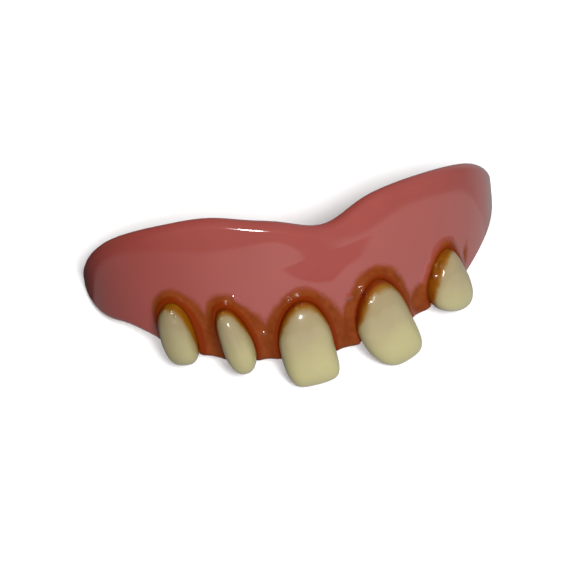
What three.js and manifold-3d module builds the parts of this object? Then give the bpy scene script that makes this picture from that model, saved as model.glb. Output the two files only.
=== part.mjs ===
// Novelty false teeth: a hard pink gum plate with five crooked ivory teeth set in it.
// Millimetres, +Z up. Seen from the front, +X is to the right and +Y is to the back.
// The plate lies as it does by itself, tipped back on its front teeth and its two ends,
// with the origin on the surface under the middle of its box.

import * as THREE from 'three';
import { ParametricGeometry } from 'three/addons/geometries/ParametricGeometry.js';
import { mergeVertices } from 'three/addons/utils/BufferGeometryUtils.js';
import Module from 'manifold-3d';

const wasm = await Module();
wasm.setup();

const DEG = Math.PI / 180;

// Arch: half an ellipse each side seen from above, its front at the origin, running a little past its
// widest line.
const ARCH_HALF = { left: 32.5, right: 31.7 };
const ARCH_DEPTH = 22.4;
const ARCH_END = 91;
const ARCH_ROUND = 66;

// Borders: heights of the gum's lower and upper edges at arch angles from the middle, in degrees.
const BORDERS = [
  { at: -90, lower: 8.0, upper: 15.0 },
  { at: -75, lower: 7.2, upper: 18.2 },
  { at: -60, lower: 6.9, upper: 21.2 },
  { at: -45, lower: 4.0, upper: 23.1 },
  { at: -30, lower: 1.5, upper: 24.0 },
  { at: -15, lower: 0.7, upper: 22.9 },
  { at: 0, lower: 0.4, upper: 22.8 },
  { at: 15, lower: 0.9, upper: 23.4 },
  { at: 30, lower: 2.3, upper: 23.5 },
  { at: 45, lower: 4.3, upper: 22.6 },
  { at: 60, lower: 7.6, upper: 20.6 },
  { at: 75, lower: 9.9, upper: 17.2 },
  { at: 90, lower: 8.8, upper: 14.2 },
];
const NOTCH = { at: 1.4, spread: 10.2, depth: 2.3 };

// Section of the gum: a thin flange, and a thicker band below it that holds the teeth.
const WALL = 2.7;
const BAND = { thick: 4.2, fullBelow: 6, goneAbove: 13, fullWithin: 48, goneBeyond: 68 };
const ROLL = 1.3;
const BULGE = { setBack: 1.6, share: 0.58, reach: 13.6 };

// Flat land inside, behind the front teeth, where the fitting putty bonds to the wearer's own teeth.
const LAND = { back: 5.7, top: 8.5, ramp: 4 };

// Teeth: place on the arch and height of the centre, half sizes, lean of the tip to the right,
// change of width from tip to neck, how square the tip and the neck are, and how far both ends
// swing to the right.
const TEETH = [
  {
    name: 'tooth_canine', at: -42.35, height: 6.95, half: 2.55, reach: 5,
    lean: 6.4, taper: 0.02, tip: 3, neck: 2.15, bow: 0.2,
  },
  {
    name: 'tooth_peg', at: -25.9, height: 5.55, half: 2.25, reach: 5.45,
    lean: 12.1, taper: -0.14, tip: 2.2, neck: 2.45, bow: -0.2,
  },
  {
    name: 'tooth_front_left', at: -7.9, height: 3.65, half: 3.95, reach: 6.9,
    lean: 4.8, taper: 0, tip: 4.4, neck: 1.9, bow: 0.5,
  },
  {
    name: 'tooth_front_right', at: 13.75, height: 3.65, half: 4.2, reach: 7.4,
    lean: 16.7, taper: 0.04, tip: 3.05, neck: 1.8, bow: 1.2,
  },
  {
    name: 'tooth_snag', at: 35.95, height: 5.8, half: 3.65, reach: 5.4,
    lean: 19.2, taper: -0.17, tip: 1.65, neck: 2.2, bow: 1.5,
  },
];
const TOOTH_FRONT = 2.5;
const TOOTH_BACK = 2.1;
const TOOTH_WEDGE = 0.1;
const TOOTH_SECTION = { across: 0.8, deep: 0.9, ends: 3 };
const SOCKET_GAP = 0.3;

// Raised collar of gum round each tooth, measured outwards from the tooth's outline, and the smallest share
// of the outline that the measure reaches inwards.
const COLLAR = { height: 0.5, out: 0.3, spread: 0.9 };
const TOOTH_CORE = 0.05;

// Angles at which the front teeth and both ends touch the surface together.
const REST_PITCH = 33.49;
const REST_ROLL = 0.32;

// Grid of the gum: columns along the arch, then rows up the front, over the top, down the back and under.
const GUM_COLUMNS = 104;
const FRONT_ROWS = 17;
const TOP_ROWS = 5;
const BACK_ROWS = 8;
const UNDER_ROWS = 4;
const GUM_ROWS = FRONT_ROWS + TOP_ROWS + BACK_ROWS + UNDER_ROWS;
const END_CROWDING = { share: 0.1, power: 7 };
const LOW_CROWDING = 1.2;
const TOOTH_SIDES = 22;
const TOOTH_ROWS = 12;
const MERGE_WITHIN = 1e-3;

const GUM_PINK = { color: 0xab605a, roughness: 0.22, metalness: 0 };
const TOOTH_IVORY = { color: 0xbdb586, roughness: 0.3, metalness: 0 };

const borderStep = BORDERS[1].at - BORDERS[0].at;
const lowerEdge = new THREE.SplineCurve(BORDERS.map((row) => new THREE.Vector2(row.at, row.lower)));
const upperEdge = new THREE.SplineCurve(BORDERS.map((row) => new THREE.Vector2(row.at, row.upper)));

// Point of the arch at an angle, with its outward normal and its direction to the right.
function archFrame(angle) {
  const half = angle < 0 ? ARCH_HALF.left : ARCH_HALF.right;
  const sin = Math.sin(angle * DEG);
  const cos = Math.cos(angle * DEG);
  const point = new THREE.Vector2(half * sin, ARCH_DEPTH * (1 - cos));
  const outward = new THREE.Vector2(sin / half, -cos / ARCH_DEPTH).normalize();
  const along = new THREE.Vector2(half * cos, ARCH_DEPTH * sin).normalize();
  return { point, outward, along };
}

// Lower and upper edge heights at an angle, and how far the end has still to close, from 1 to 0.
function gumEdges(angle) {
  const last = BORDERS.length - 1;
  const share = THREE.MathUtils.clamp((angle - BORDERS[0].at) / borderStep / last, 0, 1);
  const lower = lowerEdge.getPoint(share).y;
  const dip = NOTCH.depth * Math.exp(-(((angle - NOTCH.at) / NOTCH.spread) ** 2));
  const upper = upperEdge.getPoint(share).y - dip;
  const past = THREE.MathUtils.clamp((Math.abs(angle) - ARCH_ROUND) / (ARCH_END - ARCH_ROUND), 0, 1);
  const open = Math.sqrt(1 - past * past);
  const middle = (lower + upper) / 2;
  const halfHeight = ((upper - lower) / 2) * open;
  return { angle, low: middle - halfHeight, high: middle + halfHeight, open };
}

// Distance on the gum from a tooth's outline, negative inside it, along the line from its centre.
function outlineDistance(tooth, frame, height) {
  const seat = archFrame(tooth.at);
  const side = frame.point.clone().sub(seat.point).dot(seat.along);
  const rise = height - tooth.height;
  const sin = Math.sin(tooth.lean * DEG);
  const cos = Math.cos(tooth.lean * DEG);
  const up = (rise * cos - side * sin) / tooth.reach;
  const across = side * cos + rise * sin - tooth.bow * Math.min(up * up, 1);
  const square = up < 0 ? tooth.tip : tooth.neck;
  const half = tooth.half * (1 + tooth.taper * THREE.MathUtils.clamp(up, -1, 1));
  const size = (Math.abs(across / half) ** square + Math.abs(up) ** square) ** (1 / square);
  return Math.hypot(across, up * tooth.reach) * (1 - 1 / Math.max(size, TOOTH_CORE));
}

// Height of the tallest collar at a place on the gum.
function collarHeight(frame, height) {
  const rises = TEETH.map((tooth) => {
    const beyond = (outlineDistance(tooth, frame, height) - COLLAR.out) / COLLAR.spread;
    return COLLAR.height * Math.exp(-beyond * beyond);
  });
  return Math.max(...rises);
}

// Set-back of the smooth front from the arch: nothing at its fullest line, more towards both edges.
function frontSetBack(edges, height) {
  const fullest = edges.low + BULGE.share * (edges.high - edges.low);
  return -BULGE.setBack * ((height - fullest) / BULGE.reach) ** 2;
}

// Front and back of the gum from the arch line at a height: the band behind the teeth, the flange
// elsewhere, both drawn in towards the middle of the wall where an end closes.
function gumFaces(frame, edges, height) {
  const above = THREE.MathUtils.smoothstep(height - edges.low, BAND.fullBelow, BAND.goneAbove);
  const beyond = THREE.MathUtils.smoothstep(Math.abs(edges.angle), BAND.fullWithin, BAND.goneBeyond);
  const thick = WALL + (BAND.thick - WALL) * (1 - above) * (1 - beyond);
  const middle = frontSetBack(edges, height) - thick / 2;
  const reach = (thick / 2) * Math.sqrt(edges.open);
  return { front: middle + reach + collarHeight(frame, height), back: middle - reach };
}

// Surface of the gum: u runs along the arch, v up the front, over the top, down the back and under.
function gumPoint(u, v, target) {
  const s = 2 * u - 1;
  const angle = ARCH_END * (s + END_CROWDING.share * (s - s ** END_CROWDING.power));
  const frame = archFrame(angle);
  const edges = gumEdges(angle);
  const roll = Math.min(ROLL, (edges.high - edges.low) / 2);
  const low = edges.low + roll;
  const high = edges.high - roll;
  const row = v * GUM_ROWS;
  let out;
  let height;
  let inside = false;
  if (row <= FRONT_ROWS) {
    height = low + (high - low) * (row / FRONT_ROWS) ** LOW_CROWDING;
    out = gumFaces(frame, edges, height).front;
  } else if (row <= FRONT_ROWS + TOP_ROWS) {
    const turn = ((row - FRONT_ROWS) / TOP_ROWS) * Math.PI;
    const { front, back } = gumFaces(frame, edges, high);
    height = high + roll * Math.sin(turn);
    out = THREE.MathUtils.lerp(front, back, (1 - Math.cos(turn)) / 2);
  } else if (row <= FRONT_ROWS + TOP_ROWS + BACK_ROWS) {
    height = THREE.MathUtils.lerp(high, low, (row - FRONT_ROWS - TOP_ROWS) / BACK_ROWS);
    out = gumFaces(frame, edges, height).back;
    inside = true;
  } else {
    const turn = ((GUM_ROWS - row) / UNDER_ROWS) * Math.PI;
    const { front, back } = gumFaces(frame, edges, low);
    height = low - roll * Math.sin(turn);
    out = THREE.MathUtils.lerp(front, back, (1 - Math.cos(turn)) / 2);
  }
  target.set(frame.point.x + frame.outward.x * out, frame.point.y + frame.outward.y * out, height);
  if (inside) {
    const fade = THREE.MathUtils.smoothstep(height, LAND.top, LAND.top + LAND.ramp);
    target.y = Math.max(target.y, LAND.back * (1 - fade));
  }
}

// Surface of a tooth about its centre: a rounded outline with a full front and a flatter back.
// u runs round it from the left over the front, v from tip to neck, and every half size is larger by grow.
function toothPoint(tooth, grow) {
  return (u, v, target) => {
    const along = Math.sin((v - 0.5) * Math.PI);
    const square = along < 0 ? tooth.tip : tooth.neck;
    const room = Math.max(1 - Math.abs(along) ** square, 0) ** (1 / square);
    const half = (tooth.half * (1 + tooth.taper * along) + grow) * room;
    const sin = Math.sin(u * 2 * Math.PI);
    const cos = Math.cos(u * 2 * Math.PI);
    const round = Math.sqrt(Math.max(1 - Math.abs(along) ** TOOTH_SECTION.ends, 0));
    const front = TOOTH_FRONT * (1 + TOOTH_WEDGE * along) + grow;
    const depth = (sin > 0 ? front : TOOTH_BACK + grow) * round;
    target.set(
      -half * Math.sign(cos) * Math.abs(cos) ** TOOTH_SECTION.across + tooth.bow * along * along,
      -depth * Math.sign(sin) * Math.abs(sin) ** TOOTH_SECTION.deep,
      (tooth.reach + grow) * along,
    );
  };
}

// Closed mesh of a two-way surface: seams and poles are merged and flat slivers dropped.
function closedSurface(point, columns, rows) {
  const grid = new ParametricGeometry(point, columns, rows);
  grid.deleteAttribute('normal');
  grid.deleteAttribute('uv');
  const merged = mergeVertices(grid, MERGE_WITHIN);
  const corners = Array.from(merged.index.array);
  const kept = [];
  for (let i = 0; i < corners.length; i += 3) {
    const [a, b, c] = corners.slice(i, i + 3);
    if (a !== b && b !== c && c !== a) kept.push(a, b, c);
  }
  merged.setIndex(kept);
  merged.computeVertexNormals();
  return merged;
}

function toSolid(geometry) {
  return new wasm.Manifold(
    new wasm.Mesh({
      numProp: 3,
      vertProperties: Float32Array.from(geometry.attributes.position.array),
      triVerts: Uint32Array.from(geometry.index.array),
    }),
  );
}

function toGeometry(solid) {
  const mesh = solid.getMesh();
  const geometry = new THREE.BufferGeometry();
  geometry.setAttribute('position', new THREE.BufferAttribute(mesh.vertProperties, 3));
  geometry.setIndex(new THREE.BufferAttribute(mesh.triVerts, 1));
  geometry.computeVertexNormals();
  return geometry;
}

// A tooth turned to the arch and leaned over, with its centre on the arch line.
function makeTooth(tooth) {
  const seat = archFrame(tooth.at);
  const geometry = closedSurface(toothPoint(tooth, 0), TOOTH_SIDES, TOOTH_ROWS);
  const mesh = new THREE.Mesh(geometry, new THREE.MeshStandardMaterial(TOOTH_IVORY));
  mesh.name = tooth.name;
  mesh.position.set(seat.point.x, seat.point.y, tooth.height);
  mesh.rotation.set(0, -tooth.lean * DEG, Math.atan2(seat.along.y, seat.along.x), 'ZYX');
  mesh.updateMatrix();
  return mesh;
}

// The gum with a socket cut for each tooth, a small gap larger than the tooth all round.
function makeGum(teeth) {
  let gum = toSolid(closedSurface(gumPoint, GUM_COLUMNS, GUM_ROWS));
  TEETH.forEach((tooth, i) => {
    const socket = closedSurface(toothPoint(tooth, SOCKET_GAP), TOOTH_SIDES, TOOTH_ROWS);
    gum = gum.subtract(toSolid(socket.applyMatrix4(teeth[i].matrix)));
  });
  const mesh = new THREE.Mesh(toGeometry(gum), new THREE.MeshStandardMaterial(GUM_PINK));
  mesh.name = 'gum_plate';
  return mesh;
}

// The plate tipped back to rest, and moved so that it stands on the surface over the origin.
function layDown(pieces) {
  const group = new THREE.Group();
  group.name = 'false_teeth';
  group.add(...pieces);
  group.rotation.set(-REST_PITCH * DEG, REST_ROLL * DEG, 0, 'YXZ');
  group.updateMatrixWorld(true);
  const box = new THREE.Box3().setFromObject(group, true);
  const middle = box.getCenter(new THREE.Vector3());
  group.position.set(-middle.x, -middle.y, -box.min.z);
  group.updateMatrixWorld(true);
  return group;
}

const teeth = TEETH.map(makeTooth);
const falseTeeth = layDown([makeGum(teeth), ...teeth]);

export default falseTeeth;
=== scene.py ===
"""Novelty false teeth: a glossy pink gum plate with five crooked, stained ivory teeth.

Lengths are in millimetres in the plate's own frame, where +X is to the right seen from the front,
+Y to the back and +Z up, with the arch's front at the origin. RestPose turns that frame into the
shared one, in metres.
"""

import logging
import math
from dataclasses import dataclass, field
from enum import Enum
from typing import Any, Mapping, Sequence, Union

import bpy
import numpy as np
from mathutils import Matrix, Vector


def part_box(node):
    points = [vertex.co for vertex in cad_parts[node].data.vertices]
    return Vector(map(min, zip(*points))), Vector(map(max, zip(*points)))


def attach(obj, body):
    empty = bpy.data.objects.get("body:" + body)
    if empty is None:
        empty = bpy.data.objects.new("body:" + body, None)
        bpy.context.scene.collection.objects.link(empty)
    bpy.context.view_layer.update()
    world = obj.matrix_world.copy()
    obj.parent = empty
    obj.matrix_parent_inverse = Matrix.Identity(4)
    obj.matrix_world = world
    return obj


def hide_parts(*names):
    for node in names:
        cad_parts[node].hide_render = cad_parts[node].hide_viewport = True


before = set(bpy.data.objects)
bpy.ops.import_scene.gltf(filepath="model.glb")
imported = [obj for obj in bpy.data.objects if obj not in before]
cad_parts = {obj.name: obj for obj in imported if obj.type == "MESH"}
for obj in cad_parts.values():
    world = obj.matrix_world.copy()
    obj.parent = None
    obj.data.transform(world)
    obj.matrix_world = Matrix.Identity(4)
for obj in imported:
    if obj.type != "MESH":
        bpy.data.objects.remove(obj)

LOG = logging.getLogger("false_teeth")
MM = 0.001
TINY = 1e-6
IMAGE_SIDE = 580
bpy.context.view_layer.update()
VARNISH_IOR = 1.9

Array = np.ndarray
Colour = tuple[float, float, float]
Triple = tuple[float, float, float]


class Layer(Enum):
    """Layers that the meshes carry for their finishes: depths in a stain in millimetres, then shares."""

    WASH = "wash"
    # Dark line on the gum at each tooth: pooled stain, partly painted shade of the groove.
    RING = "ring"
    AMBER = "amber"
    RISE = "rise"
    # Painted shade on the teeth that face away from the light.
    GRIME = "painted_shade"
    DROP = "drop"


class Slot(Enum):
    """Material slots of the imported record."""

    GUM = "gum"
    TOOTH = "tooth"


def smooth(value: Array, low: float, high: float) -> Array:
    """Eased step of a value: 0 at low, 1 at high, three share squared less two share cubed between.

    Args:
        value: Values to ease.
        low: Value at which the step is 0.
        high: Value at which the step is 1; it may be below low.

    Returns:
        The eased share of every value.
    """
    share = np.clip((value - low) / (high - low), 0.0, 1.0)
    return share * share * (3.0 - 2.0 * share)


def spline_through(rows: Sequence[float], place: Array) -> Array:
    """Cubic through evenly spaced rows; its slope at a row is half the step between the row's neighbours.

    Args:
        rows: Values at places 0, 1, 2 and so on.
        place: Places to read, within the rows.

    Returns:
        The value at every place.
    """
    values = np.asarray(rows, float)
    last = len(values) - 1
    first = np.clip(np.floor(place).astype(int), 0, last - 1)
    part = place - first
    before, start, end, after = (values[np.clip(first + step, 0, last)] for step in (-1, 0, 1, 2))
    leave, arrive = (end - before) / 2.0, (after - start) / 2.0
    cubic = 2.0 * start - 2.0 * end + leave + arrive
    square = -3.0 * start + 3.0 * end - 2.0 * leave - arrive
    return ((cubic * part + square) * part + leave) * part + start


@dataclass(frozen=True)
class Unevenness:
    """Smooth seeded noise from -1 to 1: random heights on a square lattice, eased between its points."""

    seed: int
    cell: float
    side: int = 64

    def at(self, across: Array, up: Array) -> Array:
        """Noise at places on a flat sheet, blended from the four lattice points round each place.

        Args:
            across: First coordinate of the places.
            up: Second coordinate of the places.

        Returns:
            The noise at every place.
        """
        lattice = np.random.default_rng(self.seed).uniform(-1.0, 1.0, (self.side, self.side))
        column, row = np.floor(across / self.cell).astype(int), np.floor(up / self.cell).astype(int)
        right = smooth(across / self.cell - column, 0.0, 1.0)
        top = smooth(up / self.cell - row, 0.0, 1.0)
        near, far = column % self.side, (column + 1) % self.side
        low, high = row % self.side, (row + 1) % self.side
        below = lattice[near, low] * (1.0 - right) + lattice[far, low] * right
        above = lattice[near, high] * (1.0 - right) + lattice[far, high] * right
        return below * (1.0 - top) + above * top


class Wire:
    """A shader socket that takes part in Python expressions; each operator adds one Math node."""

    def __init__(self, graph: "Graph", socket: bpy.types.NodeSocket) -> None:
        """Keeps the socket and the graph that it belongs to."""
        self.graph = graph
        self.socket = socket

    def __add__(self, other: "Value") -> "Wire":
        """Sum of two values."""
        return self.graph.math("ADD", self, other)

    def __sub__(self, other: "Value") -> "Wire":
        """Difference of two values."""
        return self.graph.math("SUBTRACT", self, other)

    def __rsub__(self, other: "Value") -> "Wire":
        """Difference of a plain number and this value."""
        return self.graph.math("SUBTRACT", other, self)

    def __mul__(self, other: "Value") -> "Wire":
        """Product of two values."""
        return self.graph.math("MULTIPLY", self, other)

    __radd__ = __add__
    __rmul__ = __mul__

    def eased(self, low: float, high: float) -> "Wire":
        """Eased step of this value: 0 at low and 1 at high, where low is below high."""
        inputs = {"Value": self, "From Min": low, "From Max": high}
        return self.graph.node("ShaderNodeMapRange", {"interpolation_type": "SMOOTHSTEP"}, inputs)


Value = Union[float, Wire]


@dataclass(frozen=True)
class Step:
    """The values between which an eased step rises from 0 to 1."""

    low: float
    high: float

    def of(self, value: Wire) -> Wire:
        """The step of a value."""
        return value.eased(self.low, self.high)


@dataclass(frozen=True)
class Grain:
    """A noise over a surface: a blotch's size in millimetres, its finer octaves and their strength."""

    size: float
    octaves: float = 2.0
    roughness: float = 0.55


class Graph:
    """Nodes of one material or world, made by type, settings and inputs.

    The MIX numbers are the Mix node's sockets for colours, whose names its other kinds share.
    """

    MIX_SHARE = 0
    MIX_START = 6
    MIX_END = 7
    MIX_RESULT = 2

    def __init__(self, owner: Union[bpy.types.Material, bpy.types.World]) -> None:
        """Empties the owner's node tree and keeps it.

        Args:
            owner: The material or world.
        """
        owner.use_nodes = True
        self.tree = owner.node_tree
        self.tree.nodes.clear()

    def node(
        self,
        kind: str,
        settings: Mapping[str, Any],
        inputs: Mapping[Union[str, int], Any],
        output: Union[str, int] = 0,
    ) -> Wire:
        """Adds a node, sets it up, then fills or links its inputs.

        Args:
            kind: The node's Blender type.
            settings: Properties of the node, set before its sockets.
            inputs: Socket name or number, with a value or a Wire for each.
            output: Name or number of the output that is wanted.

        Returns:
            The wanted output, or the first input of a node that has no output.
        """
        made = self.tree.nodes.new(kind)
        for name, setting in settings.items():
            setattr(made, name, setting)
        for name, value in inputs.items():
            if isinstance(value, Wire):
                self.tree.links.new(value.socket, made.inputs[name])
            else:
                made.inputs[name].default_value = value
        return Wire(self, made.outputs[output] if made.outputs else made.inputs[0])

    def math(self, operation: str, first: Value, second: Value) -> Wire:
        """One Math node on two values."""
        return self.node("ShaderNodeMath", {"operation": operation}, {0: first, 1: second})

    def blend(self, share: Value, start: Union[Colour, Wire], end: Union[Colour, Wire]) -> Wire:
        """Mix of two colours.

        Args:
            share: How much there is of the second colour, from 0 to 1.
            start: The first colour.
            end: The second colour.

        Returns:
            The mixed colour.
        """
        first, second = (part if isinstance(part, Wire) else (*part, 1.0) for part in (start, end))
        inputs = {self.MIX_SHARE: share, self.MIX_START: first, self.MIX_END: second}
        return self.node("ShaderNodeMix", {"data_type": "RGBA"}, inputs, self.MIX_RESULT)

    def layer(self, layer: Layer) -> Wire:
        """Value of one of the mesh's own layers."""
        return self.node("ShaderNodeAttribute", {"attribute_name": layer.value}, {}, "Fac")

    def grain(self, grain: Grain) -> Wire:
        """Noise on Object coordinates.

        Args:
            grain: Size and octaves of the noise.

        Returns:
            The noise, centred so that it runs from about -1 to 1.
        """
        inputs = {
            "Vector": self.node("ShaderNodeTexCoord", {}, {}, "Object"),
            "Scale": 1.0 / (grain.size * MM),
            "Detail": grain.octaves,
            "Roughness": grain.roughness,
        }
        noise = self.node("ShaderNodeTexNoise", {"noise_dimensions": "3D"}, inputs, "Fac")
        return (noise - 0.5) * 2.0

    def facing(self, toward: Sequence[float]) -> Wire:
        """Cosine between a world's directions and one direction of it.

        Args:
            toward: The one direction, of about unit length.

        Returns:
            The dot product of each direction with it.
        """
        way = self.node("ShaderNodeTexCoord", {}, {}, "Generated")
        settings = {"operation": "DOT_PRODUCT"}
        return self.node("ShaderNodeVectorMath", settings, {0: way, 1: toward}, "Value")

    def surface(self, shader: Mapping[str, Any]) -> None:
        """Ends the graph with a Principled shader that has these inputs."""
        made = self.node("ShaderNodeBsdfPrincipled", {}, shader)
        self.node("ShaderNodeOutputMaterial", {}, {"Surface": made})


@dataclass(frozen=True)
class GumFinish:
    """Poured pink acrylic under a glossy varnish, with a brown stain brushed round the teeth and a dark
    line at each tooth that is pooled stain and partly painted shade of the groove.
    """

    pink: Colour = (0.285, 0.052, 0.043)
    deep_pink: Colour = (0.262, 0.045, 0.036)
    wash: Colour = (0.143, 0.0258, 0.0019)
    pale_wash: Colour = (0.195, 0.044, 0.0078)
    # Dark line at each tooth: pooled stain, partly painted shade of the groove.
    seam_stain_and_shade: Colour = (0.15, 0.017, 0.0005)
    haze: Grain = Grain(9.0, 3.0)
    blotches: Grain = Grain(1.7, 3.0)
    fraying: Grain = Grain(0.45)
    wash_edge: Step = Step(-0.4, 0.75)
    wash_cover: float = 0.95
    ring_edge: Step = Step(-0.35, 0.25)
    ring_cover: float = 0.95
    ragged: float = 0.65
    frayed: float = 0.2
    ring_ragged: float = 0.35
    clouds: Step = Step(-0.6, 0.6)
    strokes: Step = Step(-0.45, 0.45)
    roughness: float = 0.35
    under_gloss: float = 0.04
    stain_dulls: float = 0.96
    coat_roughness: float = 0.07

    def material(self) -> bpy.types.Material:
        """Makes the gum's material.

        Returns:
            Pink with faint cloudiness; the wash where WASH is above 0 and the dark line where RING is,
            which is stain pooled in the groove at each tooth and partly painted shade of that groove, both
            with a broken edge; the varnish is thin over the wash, apart from its drops.
        """
        made = bpy.data.materials.new("gum_acrylic")
        graph = Graph(made)
        blotches = graph.grain(self.blotches)
        ragged = blotches * self.ragged
        frayed = graph.grain(self.fraying) * self.frayed
        wash = graph.layer(Layer.WASH) + ragged + frayed
        ring = graph.layer(Layer.RING) + frayed + ragged * self.ring_ragged
        cloudy = graph.blend(self.clouds.of(graph.grain(self.haze)), self.deep_pink, self.pink)
        brushed = graph.blend(self.strokes.of(blotches), self.wash, self.pale_wash)
        stained = self.wash_edge.of(wash)
        washed = graph.blend(stained * self.wash_cover, cloudy, brushed)
        # Dark line at each tooth, partly painted shade of the groove.
        colour = graph.blend(self.ring_edge.of(ring) * self.ring_cover, washed, self.seam_stain_and_shade)
        graph.surface({
            "Base Color": colour,
            "Roughness": self.roughness,
            "Specular IOR Level": self.under_gloss,
            "Coat Weight": 1.0 - stained * self.stain_dulls * (1.0 - graph.layer(Layer.DROP)),
            "Coat Roughness": self.coat_roughness,
            "Coat IOR": VARNISH_IOR,
        })
        return made


@dataclass(frozen=True)
class ToothFinish:
    """Ivory acrylic, greyer at the neck, with amber stain that gathers in the groove at the gum, darkest
    there partly as painted shade of the groove, and painted shade on the teeth that face away from the
    light.
    """

    ivory: Colour = (0.405, 0.365, 0.168)
    neck: Colour = (0.303, 0.245, 0.133)
    # Colour of the painted shade on the teeth that face away from the light.
    painted_shade: Colour = (0.12, 0.09, 0.05)
    amber: Colour = (0.2, 0.078, 0.0015)
    brown: Colour = (0.18, 0.04, 0.0015)
    # Darkest amber at the gum: pooled stain, partly painted shade of the groove.
    dark: Colour = (0.15, 0.018, 0.0005)
    haze: Grain = Grain(3.5, 3.0)
    blotches: Grain = Grain(1.1, 3.0)
    fraying: Grain = Grain(0.4)
    greying: Step = Step(-0.75, 0.6)
    cloudy: float = 0.35
    amber_edge: Step = Step(-0.25, 0.4)
    faint_edge: Step = Step(-1.0, 0.2)
    faint: float = 0.2
    brown_edge: Step = Step(0.35, 0.65)
    dark_stain_and_shade_edge: Step = Step(0.6, 0.95)
    ragged: float = 0.2
    frayed: float = 0.1
    roughness: float = 0.3
    under_gloss: float = 0.3
    coat: float = 0.6
    stain_dulls: float = 0.55
    coat_roughness: float = 0.07

    def material(self) -> bpy.types.Material:
        """Makes the teeth's material.

        Returns:
            Ivory that greys towards the neck, with faint clouds, darkened by GRIME, which is painted shade;
            amber where AMBER is above 0, then brown and dark as it deepens, its darkest part at the gum
            being pooled stain and partly painted shade of the groove; thin varnish, thinner on the amber
            and full on its drops.
        """
        made = bpy.data.materials.new("tooth_ivory")
        graph = Graph(made)
        edge = graph.grain(self.blotches) * self.ragged + graph.grain(self.fraying) * self.frayed
        amber = graph.layer(Layer.AMBER) + edge
        rise = graph.layer(Layer.RISE) + graph.grain(self.haze) * self.cloudy
        shaded = graph.blend(self.greying.of(rise), self.ivory, self.neck)
        # Painted shade: darkens the teeth that face away from the light.
        with_painted_shade = graph.blend(graph.layer(Layer.GRIME), shaded, self.painted_shade)
        tinted = graph.blend(self.faint_edge.of(amber) * self.faint, with_painted_shade, self.amber)
        glazed = self.amber_edge.of(amber)
        bare = 1.0 - self.coat + glazed * self.stain_dulls
        stained = graph.blend(glazed, tinted, self.amber)
        browned = graph.blend(self.brown_edge.of(amber), stained, self.brown)
        # Darkest amber at the gum, partly painted shade of the groove.
        colour = graph.blend(self.dark_stain_and_shade_edge.of(amber), browned, self.dark)
        graph.surface({
            "Base Color": colour,
            "Roughness": self.roughness,
            "Specular IOR Level": self.under_gloss,
            "Coat Weight": 1.0 - bare * (1.0 - graph.layer(Layer.DROP)),
            "Coat Roughness": self.coat_roughness,
            "Coat IOR": VARNISH_IOR,
        })
        return made


@dataclass(frozen=True)
class FloorFinish:
    """Plain white card with a faint mottle, whose paler places are the white times paler."""

    white: Colour = (0.93, 0.93, 0.93)
    paler: float = 1.02
    mottle: Grain = Grain(60.0)
    mottle_step: Step = Step(-1.0, 1.0)
    roughness: float = 0.7

    def material(self) -> bpy.types.Material:
        """Makes the floor's material.

        Returns:
            The mottled white.
        """
        made = bpy.data.materials.new("floor_card")
        graph = Graph(made)
        mottle = self.mottle_step.of(graph.grain(self.mottle))
        paler = tuple(min(1.0, part * self.paler) for part in self.white)
        colour = graph.blend(mottle, self.white, paler)
        graph.surface({"Base Color": colour, "Roughness": self.roughness})
        return made


@dataclass(frozen=True)
class Arch:
    """The dental arch seen from above: half an ellipse each side, run a little past its widest line.

    left and right are its half widths and depth its depth; end is the angle of its two ends, which start
    to round off at round_from.
    """

    left: float = 32.5
    right: float = 31.7
    depth: float = 22.4
    end: float = 91.0
    round_from: float = 66.0

    def half(self, angle: Array) -> Array:
        """Half width of the side that each angle is on."""
        return np.where(angle < 0.0, self.left, self.right)

    def point(self, angle: Array) -> Array:
        """Points at angles from the ellipse's front: half width by sine, depth by one less cosine."""
        turn = np.radians(angle)
        return np.stack([self.half(angle) * np.sin(turn), self.depth * (1.0 - np.cos(turn))], -1)

    def outward(self, angle: Array) -> Array:
        """Unit normals of the ellipse: sine over half width, and less cosine over depth.

        Args:
            angle: Angles from the ellipse's front.

        Returns:
            Normals that point out of the mouth.
        """
        turn = np.radians(angle)
        normal = np.stack([np.sin(turn) / self.half(angle), -np.cos(turn) / self.depth], -1)
        return normal / np.linalg.norm(normal, axis=-1, keepdims=True)

    def along(self, angle: Array) -> Array:
        """Unit tangents of the ellipse: half width by cosine, and depth by sine.

        Args:
            angle: Angles from the ellipse's front.

        Returns:
            Tangents that point to the right.
        """
        turn = np.radians(angle)
        tangent = np.stack([self.half(angle) * np.cos(turn), self.depth * np.sin(turn)], -1)
        return tangent / np.linalg.norm(tangent, axis=-1, keepdims=True)

    def run(self, angle: Array) -> Array:
        """Rough length along the arch from its front: the angle times the mean radius."""
        return np.radians(angle) * (self.half(angle) + self.depth) / 2.0


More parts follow.
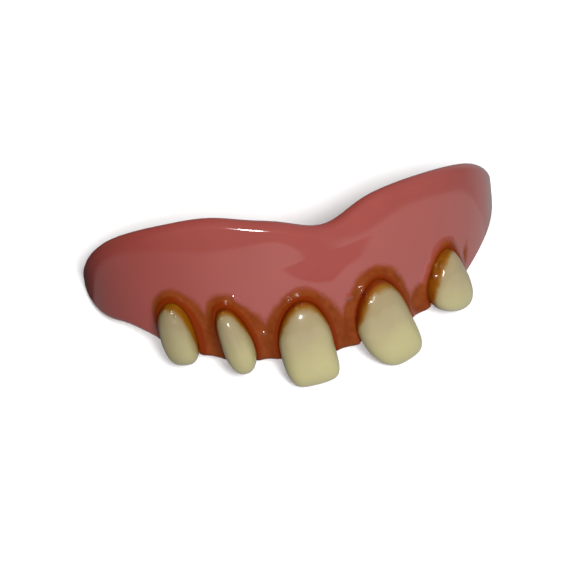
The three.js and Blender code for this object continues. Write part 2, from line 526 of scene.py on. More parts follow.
@dataclass(frozen=True)
class RestPose:
    """How the plate lies on the floor: pitched back, rolled a little, then moved into the frame."""

    pitch: float = 33.49
    roll: float = 0.32
    shift: Array = field(default_factory=lambda: np.zeros(3))

    def turned(self, points: Array) -> Array:
        """Points turned by the pitch about X, top to the back, then by the roll about Y.

        Args:
            points: Points of the plate's frame.

        Returns:
            The turned points, still in millimetres.
        """
        pitch = Matrix.Rotation(math.radians(-self.pitch), 3, "X")
        roll = Matrix.Rotation(math.radians(self.roll), 3, "Y")
        return points @ np.array(roll @ pitch).T

    def place(self, points: Array) -> Array:
        """Points of the plate's frame in the shared frame, in metres."""
        return self.turned(points) * MM + self.shift

    def fitted(self, teeth: Sequence["Tooth"], arch: Arch) -> "RestPose":
        """The same pose moved to the frame.

        Args:
            teeth: The teeth, named as their nodes are.
            arch: The arch that they stand on.

        Returns:
            The pose whose shift is the mean step from each turned tooth's box to its node's box.
        """
        steps = []
        for tooth in teeth:
            corners = self.turned(tooth.points(arch).reshape(-1, 3)) * MM
            low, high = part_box(tooth.name)
            steps.append(np.array((low + high) / 2.0) - (corners.min(0) + corners.max(0)) / 2.0)
        return RestPose(self.pitch, self.roll, np.mean(steps, axis=0))


@dataclass(frozen=True)
class Skin:
    """A closed surface of rings between two end points, with layers of measures on its vertices."""

    name: str
    rings: Array
    layers: Mapping[Layer, Array]

    def faces(self) -> list[tuple[int, ...]]:
        """Quads between neighbouring rings and a fan of triangles at each end, all facing out.

        Returns:
            Corner numbers of every face, with the two end points after the rings' own vertices.
        """
        count, around = self.rings.shape[:2]
        first = np.arange(around)
        after = np.roll(first, -1)
        start = (np.arange(count - 1) * around)[:, None]
        end = start + around
        quads = np.stack([start + first, start + after, end + after, end + first], -1)
        base, top = count * around, count * around + 1
        last = (count - 1) * around
        low = np.stack([np.full(around, base), after, first], -1)
        high = np.stack([np.full(around, top), last + first, last + after], -1)
        return quads.reshape(-1, 4).tolist() + low.tolist() + high.tolist()

    def with_ends(self, grid: Array) -> Array:
        """Vertex values of a grid on the rings, then the mean of the first ring and of the last."""
        flat = grid.reshape(-1, *grid.shape[2:])
        return np.concatenate([flat, grid[:1].mean(1), grid[-1:].mean(1)])

    def build(self, pose: RestPose, material: bpy.types.Material, slot: Slot) -> bpy.types.Object:
        """Makes the mesh object and ties it to the frame.

        Args:
            pose: Where the plate lies.
            material: Finish of the whole piece.
            slot: The record's slot for that finish; not used.

        Returns:
            The finished piece, which replaces the node of its name.
        """
        mesh = bpy.data.meshes.new(self.name)
        mesh.from_pydata(pose.place(self.with_ends(self.rings)), [], self.faces())
        mesh.polygons.foreach_set("use_smooth", np.ones(len(mesh.polygons), bool))
        for layer, grid in self.layers.items():
            values = self.with_ends(grid).astype(np.float32)
            mesh.attributes.new(layer.value, "FLOAT", "POINT").data.foreach_set("value", values)
        mesh.materials.append(material)
        mesh.update()
        piece = bpy.data.objects.new(self.name + "_dressed", mesh)
        bpy.context.scene.collection.objects.link(piece)
        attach(piece, "root")
        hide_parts(self.name)
        return piece


@dataclass(frozen=True)
class Reach:
    """Reach of a stain to the left, to the right and over the top of a tooth, in millimetres.

    lean turns the three directions to the left, in degrees.
    """

    left: float
    right: float
    top: float
    lean: float = 0.0

    def toward(self, across: Array, up: Array) -> Array:
        """Reach in the direction of each place, shared out by the direction's squared cosine and sine.

        Args:
            across: Places to the right of the tooth's centre.
            up: Places above the tooth's centre.

        Returns:
            The reach at every place.
        """
        turn = math.radians(self.lean)
        side = across * math.cos(turn) + up * math.sin(turn)
        climb = up * math.cos(turn) - across * math.sin(turn)
        rise = np.clip(climb / np.maximum(np.hypot(side, climb), TINY), 0.0, 1.0) ** 2
        return np.where(side < 0.0, self.left, self.right) * (1.0 - rise) + self.top * rise


@dataclass(frozen=True)
class Stain:
    """Stain at one tooth.

    amber climbs from the arch line up the crown, down to a lowest share of the tooth's reach, and gets
    no deeper than deep; ring is the dark line on the gum at the tooth's outline, which is stain pooled in
    the groove and partly painted shade of it, and wash spreads beyond the ring.
    """

    amber: Reach
    ring: Reach
    wash: Reach
    down: float
    deep: float


@dataclass(frozen=True)
class Mark:
    """An oval on the gum's front, about a place in degrees round the arch and a height.

    half and rise are its half sizes along the arch and up; lean turns its top to the left, in degrees.
    """

    at: float
    height: float
    half: float
    rise: float
    lean: float = 0.0

    def share(self, arch: Arch, angle: Array, height: Array) -> Array:
        """Distance from the oval's centre as a share of its edge.

        Args:
            arch: The arch.
            angle: Angles of the places.
            height: Heights of the places.

        Returns:
            Shares, which are 1 on the oval's edge.
        """
        turn = math.radians(self.lean)
        side = arch.run(angle) - arch.run(np.array(self.at))
        climb = height - self.height
        across = side * math.cos(turn) + climb * math.sin(turn)
        up = climb * math.cos(turn) - side * math.sin(turn)
        return np.hypot(across / self.half, up / self.rise)

    def bell(self, arch: Arch, angle: Array, height: Array) -> Array:
        """Bell curve over the oval, which is 1 at its centre."""
        return np.exp(-(self.share(arch, angle, height) ** 2))

    def inside(self, arch: Arch, angle: Array, height: Array) -> Array:
        """How far inside the oval each place is, in millimetres of its smaller half size."""
        return (1.0 - self.share(arch, angle, height)) * min(self.half, self.rise)


@dataclass(frozen=True)
class Swell:
    """A low rise of the gum's front: a bell curve over an oval, out at its centre."""

    mark: Mark
    out: float

    def at(self, arch: Arch, angle: Array, height: Array) -> Array:
        """Height of the rise at each place."""
        return self.out * self.mark.bell(arch, angle, height)


@dataclass(frozen=True)
class Drop:
    """A drop of varnish on a tooth: its share of the reach, and degrees from the left over the front."""

    share: float
    turn: float


@dataclass(frozen=True)
class Tooth:
    """One tooth: a rounded outline with a full front and a flatter back, standing on the arch.

    at is its place in degrees round the arch, height its centre, half and reach its half sizes, lean the
    degrees its tip leans to the right, taper the change of width from tip to neck, tip and neck the
    powers that make its two ends more or less square, and bow how far both ends swing to the right of
    its middle. grime is how far painted shade darkens it, strongest on the teeth that face away from the
    light, and seed its own unevenness. front and back are its depths,
    wedge the change of its front's depth from the middle to the neck, and across_power, deep_power and
    ends_power the powers that round its sections and its ends. sides and rows count its vertices. lobes
    is the height of its lobes and unevenness, of which the lobes have lobe_share, and lobe_turns is how
    often they repeat over half its width. uneven_cell is the size of the unevenness's cells, and
    uneven_start the place on its sheet that the tooth's centre has. The amber has its full level from
    amber_full up, less amber_rim. outline_core is the least share of the outline's size that its
    distance counts with, at the centre.
    """

    name: str
    at: float
    height: float
    half: float
    reach: float
    lean: float
    taper: float
    tip: float
    neck: float
    bow: float
    # Share of painted shade, for a tooth that faces away from the light.
    painted_shade: float
    seed: int
    stain: Stain
    drops: Sequence[Drop]
    drop_radius: float = 0.3
    drop_height: float = 0.17
    front: float = 2.5
    back: float = 2.1
    wedge: float = 0.1
    across_power: float = 0.8
    deep_power: float = 0.9
    ends_power: float = 3.0
    sides: int = 96
    rows: int = 120
    lobes: float = 0.05
    lobe_share: float = 0.5
    lobe_turns: float = 1.25
    uneven_cell: float = 2.4
    uneven_start: float = 40.0
    amber_full: float = 0.5
    amber_rim: float = 0.3
    outline_core: float = 0.05

    def plane(self, arch: Arch, point: Array, height: Array) -> tuple[Array, Array]:
        """Places on the gum seen square on to the tooth.

        Args:
            arch: The arch.
            point: Places seen from above.
            height: Their heights.

        Returns:
            Distances to the right of the tooth's own long line and up along it.
        """
        seat, along = arch.point(np.array(self.at)), arch.along(np.array(self.at))
        side, rise = (point - seat) @ along, height - self.height
        lean = math.radians(self.lean)
        up = rise * math.cos(lean) - side * math.sin(lean)
        swing = self.bow * np.minimum((up / self.reach) ** 2, 1.0)
        return side * math.cos(lean) + rise * math.sin(lean) - swing, up

    def width_at(self, share: Array) -> Array:
        """Half width before the ends round off, at a share of the reach from -1 to 1."""
        return self.half * (1.0 + self.taper * np.clip(share, -1.0, 1.0))

    def outline(self, across: Array, up: Array) -> Array:
        """Distance from the outline along the line from the centre.

        The outline is where the powers of the shares of width and of reach add up to one.

        Args:
            across: Places to the right of the tooth's long line.
            up: Places up along it.

        Returns:
            Distances, negative inside the outline.
        """
        share = up / self.reach
        square = np.where(share < 0.0, self.tip, self.neck)
        powers = np.abs(across / self.width_at(share)) ** square + np.abs(share) ** square
        size = np.maximum(powers ** (1.0 / square), self.outline_core)
        return np.hypot(across, up) * (1.0 - 1.0 / size)

    def back_depth(self, across: Array, up: Array) -> Array:
        """Depth of the back behind the arch line, by the same powers as a ring of the tooth.

        Args:
            across: Places to the right of the tooth's long line.
            up: Places up along it.

        Returns:
            Depths inside the outline, and 0 outside it.
        """
        share = np.clip(up / self.reach, -1.0, 1.0)
        square = np.where(share < 0.0, self.tip, self.neck)
        room = np.maximum(1.0 - np.abs(share) ** square, TINY) ** (1.0 / square)
        side = np.clip(np.abs(across) / (self.width_at(share) * room), 0.0, 1.0)
        cosine = side ** (1.0 / self.across_power)
        rounded = np.sqrt(1.0 - np.abs(share) ** self.ends_power)
        return self.back * rounded * np.sqrt(1.0 - cosine ** 2) ** self.deep_power

    def bare(self) -> Array:
        """Rings of the tooth about its centre, from tip to neck, without drops.

        A ring at a share of the reach is half width times a power of the cosine by depth times a power
        of the sine; the front is wedged a little and has two faint grooves that part its three lobes.
        The ring's middle swings aside with the square of the share.

        Returns:
            Points of every ring, rows by sides by three.
        """
        share = np.sin((np.linspace(0.0, 1.0, self.rows + 2)[1:-1] - 0.5) * np.pi)[:, None]
        turn = np.linspace(0.0, 2.0 * np.pi, self.sides, endpoint=False)[None, :]
        square = np.where(share < 0.0, self.tip, self.neck)
        half = self.width_at(share) * (1.0 - np.abs(share) ** square) ** (1.0 / square)
        sine, cosine = np.sin(turn), np.cos(turn)
        rounded = np.sqrt(1.0 - np.abs(share) ** self.ends_power)
        depth = np.where(sine > 0.0, self.front * (1.0 + self.wedge * share), self.back) * rounded
        across = -half * np.sign(cosine) * np.abs(cosine) ** self.across_power
        deep = depth * np.sign(sine) * np.abs(sine) ** self.deep_power
        facing = np.clip(sine, 0.0, 1.0)
        lobe = np.cos(across / self.half * self.lobe_turns * 2.0 * np.pi) * facing ** 2
        noise = Unevenness(self.seed, self.uneven_cell)
        uneven = noise.at(across + self.uneven_start, share * self.reach + self.uneven_start)
        deep = deep + self.lobes * (self.lobe_share * lobe + uneven * facing) * rounded
        across = across + self.bow * share ** 2
        return np.stack([across, -deep, np.broadcast_to(share * self.reach, across.shape)], -1)

    def wet(self, bare: Array) -> Array:
        """How much of a drop there is at each place: the tallest bell curve of the distance from one.

        Args:
            bare: Rings of the tooth without drops.

        Returns:
            Shares from 0 to 1, rows by sides.
        """
        share = bare[:, 0, 2] / self.reach
        bells = [np.zeros(bare.shape[:2])]
        for drop in self.drops:
            middle = bare[np.abs(share - drop.share).argmin(), round(drop.turn / 360.0 * self.sides)]
            gap = np.linalg.norm(bare - middle, axis=-1)
            bells.append(np.exp(-((gap / self.drop_radius) ** 2)))
        return np.max(bells, 0)

    def local(self) -> Array:
        """Rings of the tooth with its drops, which stand out along the normal of its surface.

        Returns:
            Points of every ring about the tooth's centre, rows by sides by three.
        """
        bare = self.bare()
        around = np.roll(bare, -1, 1) - np.roll(bare, 1, 1)
        normal = np.cross(around, np.gradient(bare, axis=0))
        normal = normal / np.linalg.norm(normal, axis=-1, keepdims=True)
        return bare + normal * (self.wet(bare) * self.drop_height)[..., None]

    def points(self, arch: Arch) -> Array:
        """Rings in the plate's frame: leaned over, turned to the arch and moved to the seat.

        Args:
            arch: The arch that the tooth stands on.

        Returns:
            Points of every ring, rows by sides by three.
        """
        seat, along = arch.point(np.array(self.at)), arch.along(np.array(self.at))
        lean = Matrix.Rotation(math.radians(-self.lean), 3, "Y")
        turn = Matrix.Rotation(math.atan2(along[1], along[0]), 3, "Z")
        return self.local() @ np.array(turn @ lean).T + np.array([*seat, self.height])

    def measures(self) -> Mapping[Layer, Array]:
        """Depth below the edge of the amber, the share of the reach, the grime, which is painted shade, and
        the drops.

        Returns:
            The four layers; the amber's level falls away from a high share down to its lowest one.
        """
        bare = self.bare()
        proud, share = -bare[..., 1], bare[..., 2] / self.reach
        across = bare[..., 0] - self.bow * share ** 2
        level = self.stain.amber.toward(across, bare[..., 2])
        level = level * smooth(share, self.stain.down, self.amber_full) - self.amber_rim
        return {
            Layer.AMBER: np.minimum(level - proud, self.stain.deep),
            Layer.RISE: share,
            # Painted shade, even over the whole tooth.
            Layer.GRIME: np.full(share.shape, self.painted_shade),
            Layer.DROP: self.wet(bare),
        }

    def dress(self, arch: Arch, pose: RestPose, finish: bpy.types.Material) -> bpy.types.Object:
        """Builds the tooth as a piece."""
        return Skin(self.name, self.points(arch), self.measures()).build(pose, finish, Slot.TOOTH)


@dataclass(frozen=True)
class GumPlate:
    """The gum: a wall along the arch, thicker behind the teeth, with a collar round each tooth.

    lower and upper are the heights of its borders, a row every border_step degrees from border_from, and
    the notch dips the upper one. wall is its thickness, and band its thickness low down behind the
    teeth, which fades between the two heights and the two angles given. roll is the height of its rolled
    edges. The front falls back by set_back at set_back_reach from its fullest line, which is given as a
    share of its height. land_back is the place of the flat fitting land, up to land_top. marks are
    stains apart from the teeth's own. socket_gap is the room behind a tooth, and socket_lip how far
    inside its outline the socket starts. Depths in a stain stay within stain_limit, and front_fade is
    the share of a roll over which they end. The other counts and powers space the vertices.
    """

    arch: Arch
    teeth: Sequence[Tooth]
    name: str = "gum_plate"
    lower: Sequence[float] = (8.0, 7.2, 6.9, 4.0, 1.5, 0.7, 0.4, 0.9, 2.3, 4.3, 7.6, 9.9, 8.8)
    upper: Sequence[float] = (
        15.0, 18.2, 21.2, 23.1, 24.0, 22.9, 22.8, 23.4, 23.5, 22.6, 20.6, 17.2, 14.2,
    )
    border_from: float = -90.0
    border_step: float = 15.0
    notch_at: float = 1.4
    notch_spread: float = 10.2
    notch_depth: float = 2.3
    wall: float = 2.7
    band: float = 4.2
    band_full_below: float = 6.0
    band_gone_above: float = 13.0
    band_full_within: float = 48.0
    band_gone_beyond: float = 68.0
    roll: float = 1.3
    set_back: float = 1.6
    fullest: float = 0.58
    set_back_reach: float = 13.6
    land_back: float = 5.7
    land_top: float = 8.5
    land_ramp: float = 4.0
    collar_height: float = 0.5
    collar_out: float = 0.3
    collar_spread: float = 0.9
    marks: Sequence[Mark] = (
        Mark(27.4, 5.0, 2.4, 2.9),
        Mark(46.0, 8.7, 0.7, 1.9, -8.0),
    )
    drops: Sequence[Mark] = (
        Mark(-25.0, 12.4, 0.26, 0.3),
        Mark(-18.3, 6.0, 0.26, 0.3),
        Mark(-11.2, 10.9, 0.26, 0.3),
        Mark(5.0, 9.3, 0.4, 0.45),
        Mark(8.0, 10.0, 0.4, 0.45),
    )
    drop_height: float = 0.3
    swells: Sequence[Swell] = (
        Swell(Mark(0.5, 12.4, 7.5, 3.4), 0.24),
        Swell(Mark(-11.0, 19.4, 3.0, 2.6), 0.1),
        Swell(Mark(-9.0, 21.5, 6.5, 4.0), 0.35),
    )
    ripple: float = 0.06
    ripple_cell: float = 8.0
    ripple_seed: int = 7
    ripple_start: float = 100.0
    socket_lip: float = 0.25
    socket_gap: float = 0.06
    stain_limit: float = 4.0
    front_fade: float = 0.5
    stations: int = 420
    front_rows: int = 128
    top_rows: int = 22
    back_rows: int = 44
    under_rows: int = 24
    end_crowding: float = 0.1
    end_power: float = 7.0
    low_crowding: float = 1.35

    def edges(self, angle: Array) -> tuple[Array, Array, Array]:
        """Lower and upper edge heights, and how open the section is, from 1 to 0 where an end closes.

        The borders are splines through their rows; the upper one dips by a bell curve at the notch. Near
        an end both close on their middle as a quarter ellipse does.

        Args:
            angle: Angles round the arch.

        Returns:
            Lower edge, upper edge and openness.
        """
        last = len(self.lower) - 1
        place = np.clip((angle - self.border_from) / self.border_step, 0.0, last)
        dip = self.notch_depth * np.exp(-(((angle - self.notch_at) / self.notch_spread) ** 2))
        lower, upper = spline_through(self.lower, place), spline_through(self.upper, place) - dip
        span = self.arch.end - self.arch.round_from
        past = np.clip((np.abs(angle) - self.arch.round_from) / span, 0.0, 1.0)
        is_open = np.sqrt(1.0 - past ** 2)
        middle, half = (lower + upper) / 2.0, (upper - lower) / 2.0 * is_open
        return middle - half, middle + half, is_open

    def collar(self, distances: Array) -> Array:
        """Tallest collar at a place: a bell curve of the distance from each tooth's outline."""
        bells = np.exp(-(((distances - self.collar_out) / self.collar_spread) ** 2))
        return self.collar_height * bells.max(0)

    def outlines(self, angle: Array, height: Array) -> tuple[Array, Array]:
        """Every tooth's outline distance and socket floor at places on the gum.

        Args:
            angle: Angles of the places.
            height: Heights of the places.

        Returns:
            Distances and floors, each teeth by places.
        """
        point = self.arch.point(angle)
        planes = [tooth.plane(self.arch, point, height) for tooth in self.teeth]
        distances = [tooth.outline(*plane) for tooth, plane in zip(self.teeth, planes)]
        depths = [tooth.back_depth(*plane) for tooth, plane in zip(self.teeth, planes)]
        return np.stack(distances), -np.stack(depths) - self.socket_gap

    def wall_faces(self, angle: Array, height: Array) -> tuple[Array, Array]:
        """Smooth front and back of the wall from the arch line, before sockets.

        The front falls back from its fullest line as the square of the height from it. The wall is
        thicker low down behind the teeth, and both faces draw in to its middle where an end closes.

        Args:
            angle: Angles of the places.
            height: Heights of the places.

        Returns:
            Front and back, outward from the arch line.
        """
        low, high, is_open = self.edges(angle)
        fullest = low + self.fullest * (high - low)
        set_back = -self.set_back * ((height - fullest) / self.set_back_reach) ** 2
        above = smooth(height - low, self.band_full_below, self.band_gone_above)
        beyond = smooth(np.abs(angle), self.band_full_within, self.band_gone_beyond)
        thick = self.wall + (self.band - self.wall) * (1.0 - above) * (1.0 - beyond)
        middle, reach = set_back - thick / 2.0, thick / 2.0 * np.sqrt(is_open)
        return middle + reach, middle - reach

    def wet(self, angle: Array, height: Array) -> Array:
        """How much of a drop of varnish there is at each place: the tallest bell curve over a drop."""
        return np.max([drop.bell(self.arch, angle, height) for drop in self.drops], 0)

    def front(self, angle: Array, height: Array) -> Array:
        """Front of the gum: the wall with swells, ripple, collars and drops added, cut by the sockets.

        Args:
            angle: Angles of the places.
            height: Heights of the places.

        Returns:
            The front, outward from the arch line.
        """
        distances, floors = self.outlines(angle, height)
        swell = np.max([swell.at(self.arch, angle, height) for swell in self.swells], 0)
        noise = Unevenness(self.ripple_seed, self.ripple_cell)
        ripple = noise.at(self.arch.run(angle) + self.ripple_start, height + self.ripple_start)
        out = self.wall_faces(angle, height)[0] + self.collar(distances) + swell + self.ripple * ripple
        out = out + self.drop_height * self.wet(angle, height)
        inside = distances < -self.socket_lip
        return np.minimum(out, np.where(inside, floors, np.inf).min(0))

    def rings(self) -> tuple[Array, Array, Array]:
        """Closed sections of the gum along the arch.

        Each section runs up the front, over the top in a half turn, down the back and under in a half
        turn. Low on the inside the back is filled up to the flat fitting land.

        Returns:
            Points, angles and heights, stations by rows.
        """
        share = np.linspace(-1.0, 1.0, self.stations + 2)[1:-1, None]
        angle = self.arch.end * (share + self.end_crowding * (share - share ** self.end_power))
        low, high, _ = self.edges(angle)
        roll = np.minimum(self.roll, (high - low) / 2.0)
        low, high = low + roll, high - roll
        rise = np.linspace(0.0, 1.0, self.front_rows)[None, :] ** self.low_crowding
        over = np.linspace(0.0, np.pi, self.top_rows + 2)[None, 1:-1]
        fall = np.linspace(0.0, 1.0, self.back_rows)[None, :]
        under = np.linspace(np.pi, 0.0, self.under_rows + 2)[None, 1:-1]
        front_height = low + (high - low) * rise
        back_height = high + (low - high) * fall
        top_front, top_back = self.front(angle, high), self.wall_faces(angle, high)[1]
        low_front, low_back = self.front(angle, low), self.wall_faces(angle, low)[1]
        height = np.concatenate(
            [front_height, high + roll * np.sin(over), back_height, low - roll * np.sin(under)], 1
        )
        out = np.concatenate(
            [
                self.front(np.broadcast_to(angle, front_height.shape), front_height),
                top_front + (top_back - top_front) * (1.0 - np.cos(over)) / 2.0,
                self.wall_faces(angle, back_height)[1],
                low_front + (low_back - low_front) * (1.0 - np.cos(under)) / 2.0,
            ],
            1,
        )
        angle = np.broadcast_to(angle, height.shape)
        flat = self.arch.point(angle) + self.arch.outward(angle) * out[..., None]
        inside = np.zeros(height.shape, bool)
        inside[:, self.front_rows + self.top_rows:-self.under_rows] = True
        land = self.land_back * (1.0 - smooth(height, self.land_top, self.land_top + self.land_ramp))
        flat[..., 1] = np.where(inside, np.maximum(flat[..., 1], land), flat[..., 1])
        return np.concatenate([flat, height[..., None]], -1), angle, height

    def front_share(self) -> Array:
        """How much each row of a section belongs to the front.

        Returns:
            1 up the front and on the near part of the rolls, eased to 0 over the rest, and 0 down the back.
        """
        over = smooth(np.linspace(1.0, 0.0, self.top_rows), 0.0, self.front_fade)
        under = smooth(np.linspace(0.0, 1.0, self.under_rows), 0.0, self.front_fade)
        return np.concatenate([np.ones(self.front_rows), over, np.zeros(self.back_rows), under])

    def on_front(self, inside: Array) -> Array:
        """Depths in a stain held within the limit, and lowered by its whole range behind the front.

        Args:
            inside: Depths in the stain, stations by rows.

        Returns:
            The depths, at the lower limit all over the back.
        """
        limit = self.stain_limit
        behind = 2.0 * limit * (1.0 - self.front_share())
        return np.maximum(np.clip(inside, -limit, limit) - behind, -limit)

    def stain_layers(self, angle: Array, height: Array) -> Mapping[Layer, Array]:
        """Measures for the stain: how far inside the washes and marks, and inside the rings, a place is.

        Args:
            angle: Angles of the places, stations by rows.
            height: Heights of the places, stations by rows.

        Returns:
            The two measures and the share of a drop, in which no place on the back is inside anything.
        """
        point = self.arch.point(angle)
        washes = [mark.inside(self.arch, angle, height) for mark in self.marks]
        rings = []
        for tooth in self.teeth:
            across, up = tooth.plane(self.arch, point, height)
            distance = tooth.outline(across, up)
            washes.append(tooth.stain.wash.toward(across, up) - distance)
            rings.append(tooth.stain.ring.toward(across, up) - distance)
        return {
            Layer.WASH: self.on_front(np.max(washes, 0)),
            Layer.RING: self.on_front(np.max(rings, 0)),
            Layer.DROP: self.wet(angle, height) * self.front_share(),
        }

    def dress(self, pose: RestPose, finish: bpy.types.Material) -> bpy.types.Object:
        """Builds the gum as a piece; its rings are turned round so that their faces point out.

        Args:
            pose: Where the plate lies.
            finish: The gum's material.

        Returns:
            The finished piece.
        """
        rings, angle, height = self.rings()
        layers = {layer: grid[:, ::-1] for layer, grid in self.stain_layers(angle, height).items()}
        return Skin(self.name, rings[:, ::-1], layers).build(pose, finish, Slot.GUM)


@dataclass(frozen=True)
class Lamp:
    """A round soft lamp that shines at the aim.

    toward is its direction from the aim to the camera's right, up and back; side and distance are in
    millimetres. A lamp that isn't mirrored lights the part and leaves no highlight.
    """

    name: str
    toward: Triple
    watts: float
    side: float
    distance: float = 900.0
    mirrored: bool = True

    def build(self, aim: Vector, axes: Matrix) -> bpy.types.Object:
        """Makes the lamp.

        Args:
            aim: The point that it shines at.
            axes: The camera's right, up and back directions as columns.

        Returns:
            The lamp's object.
        """
        lamp = bpy.data.lights.new(self.name, "AREA")
        lamp.shape = "DISK"
        lamp.size = self.side * MM
        lamp.energy = self.watts
        made = bpy.data.objects.new(self.name, lamp)
        toward = axes @ Vector(self.toward).normalized()
        made.location = (aim + toward * self.distance) * MM
        made.rotation_euler = toward.to_track_quat("Z", "Y").to_euler()
        made.visible_glossy = self.mirrored
        bpy.context.scene.collection.objects.link(made)
        return made


@dataclass(frozen=True)
class Cut:
    """A bend of the card's edge: gain is added to its cosine past a step to the camera's right."""

    step: Step
    gain: float


@dataclass(frozen=True)
class Studio:
    """Floor, light and camera. Angles are in degrees and lengths in millimetres, in the shared frame.

    focal is in pixels of the picture. glow_toward is given to the camera's right, up and back, and
    card_toward in the shared frame.
    """

    azimuth: float = -19.26
    elevation: float = 56.48
    tilt: float = 3.38
    distance: float = 373.3
    aim: Triple = (-3.369, 0.857, 4.954)
    focal: float = 2538.0
    sensor: float = 36.0
    near_limit: float = 10.0
    floor_side: float = 2400.0
    dark: Colour = (0.03, 0.03, 0.03)
    dusk: Colour = (0.28, 0.28, 0.28)
    far_dusk: Colour = (0.46, 0.46, 0.46)
    glow: Colour = (0.22, 0.22, 0.215)
    card: Colour = (0.6, 0.59, 0.575)
    card_low: Colour = (0.2, 0.2, 0.2)
    glow_toward: Triple = (0.55, -0.05, 0.83)
    card_toward: Triple = (-0.12, -0.65, -0.75)
    sides_step: Step = Step(-0.5, 0.7)
    glow_step: Step = Step(-0.35, 0.85)
    far_step: Step = Step(0.3, 0.65)
    card_step: Step = Step(0.385, 0.415)
    card_left: Step = Step(-0.85, 0.3)
    card_right: Step = Step(0.55, 1.0)
    card_right_loss: float = 0.15
    card_cuts: Sequence[Cut] = (
        Cut(Step(0.12, 0.42), -0.08),
        Cut(Step(0.46, 0.6), 0.17),
        Cut(Step(0.58, 1.0), 0.12),
    )
    lamps: Sequence[Lamp] = (
        Lamp("flash", (0.0, -0.1, 1.0), 2.4, 140.0),
        Lamp("flash_hood", (0.0, -0.1, 1.0), 0.6, 260.0),
        Lamp("key", (0.24, 0.06, 0.97), 7.6, 300.0, mirrored=False),
        Lamp("fill", (-0.32, 0.9, -0.29), 6.0, 500.0, mirrored=False),
    )

    def axes(self) -> Matrix:
        """The camera's own directions, tilted about the line of sight.

        Returns:
            Right, up and back as columns.
        """
        azimuth, elevation = math.radians(self.azimuth), math.radians(self.elevation)
        back = Vector((
            math.sin(azimuth) * math.cos(elevation),
            -math.cos(azimuth) * math.cos(elevation),
            math.sin(elevation),
        ))
        right = Vector((math.cos(azimuth), math.sin(azimuth), 0.0))
        up = back.cross(right)
        tilt = math.radians(self.tilt)
        tilted = right * math.cos(tilt) + up * math.sin(tilt)
        return Matrix((tilted, back.cross(tilted), back)).transposed()

    def camera(self) -> bpy.types.Object:
        """Makes the scene's camera on its line of sight.

        Returns:
            The camera's object.
        """
        data = bpy.data.cameras.new("camera")
        data.sensor_width = self.sensor
        data.lens = self.focal * self.sensor / IMAGE_SIDE
        data.clip_start = self.near_limit * MM
        made = bpy.data.objects.new("camera", data)
        axes = self.axes()
        place = (Vector(self.aim) + axes.col[2] * self.distance) * MM
        made.matrix_world = Matrix.Translation(place) @ axes.to_4x4()
        bpy.context.scene.collection.objects.link(made)
        bpy.context.scene.camera = made
        return made

    def floor(self) -> bpy.types.Object:
        """Makes the floor: one flat square under the origin, left out of reflections and bounces.

        Returns:
            The floor's object.
        """
        half = self.floor_side / 2.0 * MM
        corners = [(-half, -half, 0.0), (half, -half, 0.0), (half, half, 0.0), (-half, half, 0.0)]
        mesh = bpy.data.meshes.new("floor")
        mesh.from_pydata(corners, [], [(0, 1, 2, 3)])
        mesh.materials.append(FloorFinish().material())
        made = bpy.data.objects.new("floor", mesh)
        made.visible_glossy = False
        made.visible_diffuse = False
        bpy.context.scene.collection.objects.link(made)
        return made

    def lights(self) -> None:
        """Makes the surroundings and the lamps.

        The surroundings are dark at the camera's left and dusky at its right, paler there far ahead of
        it, with a wide glow over the camera and a large pale card low in front. The card is a disc of
        directions: those whose cosine to its middle, with the cuts added, is above its edge. It fades
        towards its left end, and a little towards its right one.
        """
        world = bpy.data.worlds.new("studio")
        graph = Graph(world)
        right = graph.facing(self.axes().col[0])
        away = graph.facing(-self.axes().col[2])
        dusk = graph.blend(self.far_step.of(away), self.dusk, self.far_dusk)
        sides = graph.blend(self.sides_step.of(right), self.dark, dusk)
        over = graph.facing(self.axes() @ Vector(self.glow_toward).normalized())
        sky = graph.blend(self.glow_step.of(over), sides, self.glow)
        level = self.card_left.of(right) * (1.0 - self.card_right.of(right) * self.card_right_loss)
        card = graph.blend(level, self.card_low, self.card)
        edge = graph.facing(self.card_toward)
        for cut in self.card_cuts:
            edge = edge + cut.step.of(right) * cut.gain
        within = self.card_step.of(edge)
        shine = graph.node("ShaderNodeBackground", {}, {"Color": graph.blend(within, sky, card)})
        graph.node("ShaderNodeOutputWorld", {}, {"Surface": shine})
        bpy.context.scene.world = world
        for lamp in self.lamps:
            lamp.build(Vector(self.aim), self.axes())

    def build(self) -> None:
        """Makes the floor, the lights and the camera, and shows colours as they are."""
        self.floor()
        self.lights()
        self.camera()
        bpy.context.scene.view_settings.view_transform = "Standard"


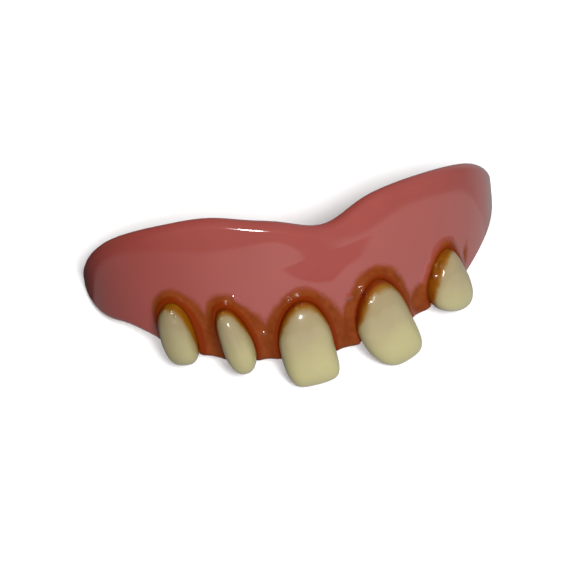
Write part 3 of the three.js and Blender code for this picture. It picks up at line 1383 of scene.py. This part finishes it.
def make_teeth() -> list[Tooth]:
    """The five teeth from left to right.

    Returns:
        The canine, the peg, the two front teeth and the snag.
    """
    return [
        # The canine and the peg, which face away from the light, carry painted shade.
        Tooth(
            "tooth_canine", at=-42.35, height=6.95, half=2.55, reach=5.0, lean=6.4,
            taper=0.02, tip=3.0, neck=2.15, bow=0.2, painted_shade=0.3, seed=11,
            stain=Stain(
                amber=Reach(0.35, 1.7, 1.95), ring=Reach(0.35, 1.2, 0.95), wash=Reach(0.9, 3.0, 2.2),
                down=-1.1, deep=0.45,
            ),
            drops=(Drop(0.88, 70.0), Drop(0.86, 110.0), Drop(0.7, 125.0)),
        ),
        Tooth(
            "tooth_peg", at=-25.9, height=5.55, half=2.25, reach=5.45, lean=12.1,
            taper=-0.14, tip=2.2, neck=2.45, bow=-0.2, painted_shade=0.13, seed=12,
            stain=Stain(
                amber=Reach(0.4, 1.2, 1.9), ring=Reach(0.15, 0.7, 1.0), wash=Reach(3.0, 3.0, 2.3),
                down=-1.1, deep=0.8,
            ),
            drops=(Drop(0.95, 95.0), Drop(0.86, 75.0)),
        ),
        Tooth(
            "tooth_front_left", at=-7.9, height=3.65, half=3.95, reach=6.9, lean=4.8,
            taper=0.0, tip=4.4, neck=1.9, bow=0.5, painted_shade=0.0, seed=13,
            stain=Stain(
                amber=Reach(1.3, 1.2, 2.05), ring=Reach(0.6, 0.6, 0.7), wash=Reach(3.0, 2.8, 1.9),
                down=-0.2, deep=1.3,
            ),
            drops=(Drop(0.91, 60.0), Drop(0.95, 94.0)),
        ),
        Tooth(
            "tooth_front_right", at=13.75, height=3.65, half=4.2, reach=7.4, lean=16.7,
            taper=0.04, tip=3.05, neck=1.8, bow=1.2, painted_shade=0.0, seed=14,
            stain=Stain(
                amber=Reach(1.6, 0.4, 2.25), ring=Reach(0.1, 0.4, 0.55), wash=Reach(2.6, 0.9, 2.0, -30.0),
                down=0.0, deep=1.3,
            ),
            drops=(Drop(0.82, 35.0), Drop(0.72, 50.0), Drop(0.8, 52.0)),
        ),
        Tooth(
            "tooth_snag", at=35.95, height=5.8, half=3.65, reach=5.4, lean=19.2,
            taper=-0.17, tip=1.65, neck=2.2, bow=1.5, painted_shade=0.0, seed=15,
            stain=Stain(
                amber=Reach(1.0, 0.4, 2.2, 22.0), ring=Reach(0.4, 0.35, 0.5), wash=Reach(1.0, 1.1, 1.3),
                down=-4.0, deep=0.55,
            ),
            drops=(Drop(0.84, 11.0), Drop(0.83, 41.0), Drop(0.65, 15.0)),
            drop_radius=0.45, drop_height=0.36,
        ),
    ]


def main() -> None:
    """Builds the teeth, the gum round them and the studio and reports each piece."""
    logging.basicConfig(level=logging.INFO, format="%(name)s %(message)s")
    arch = Arch()
    teeth = make_teeth()
    pose = RestPose().fitted(teeth, arch)
    ivory = ToothFinish().material()
    pieces = [tooth.dress(arch, pose, ivory) for tooth in teeth]
    pieces.append(GumPlate(arch, teeth).dress(pose, GumFinish().material()))
    for piece in pieces:
        LOG.info("%s: %d vertices", piece.name, len(piece.data.vertices))
    Studio().build()


if __name__ == "__main__":
    main()
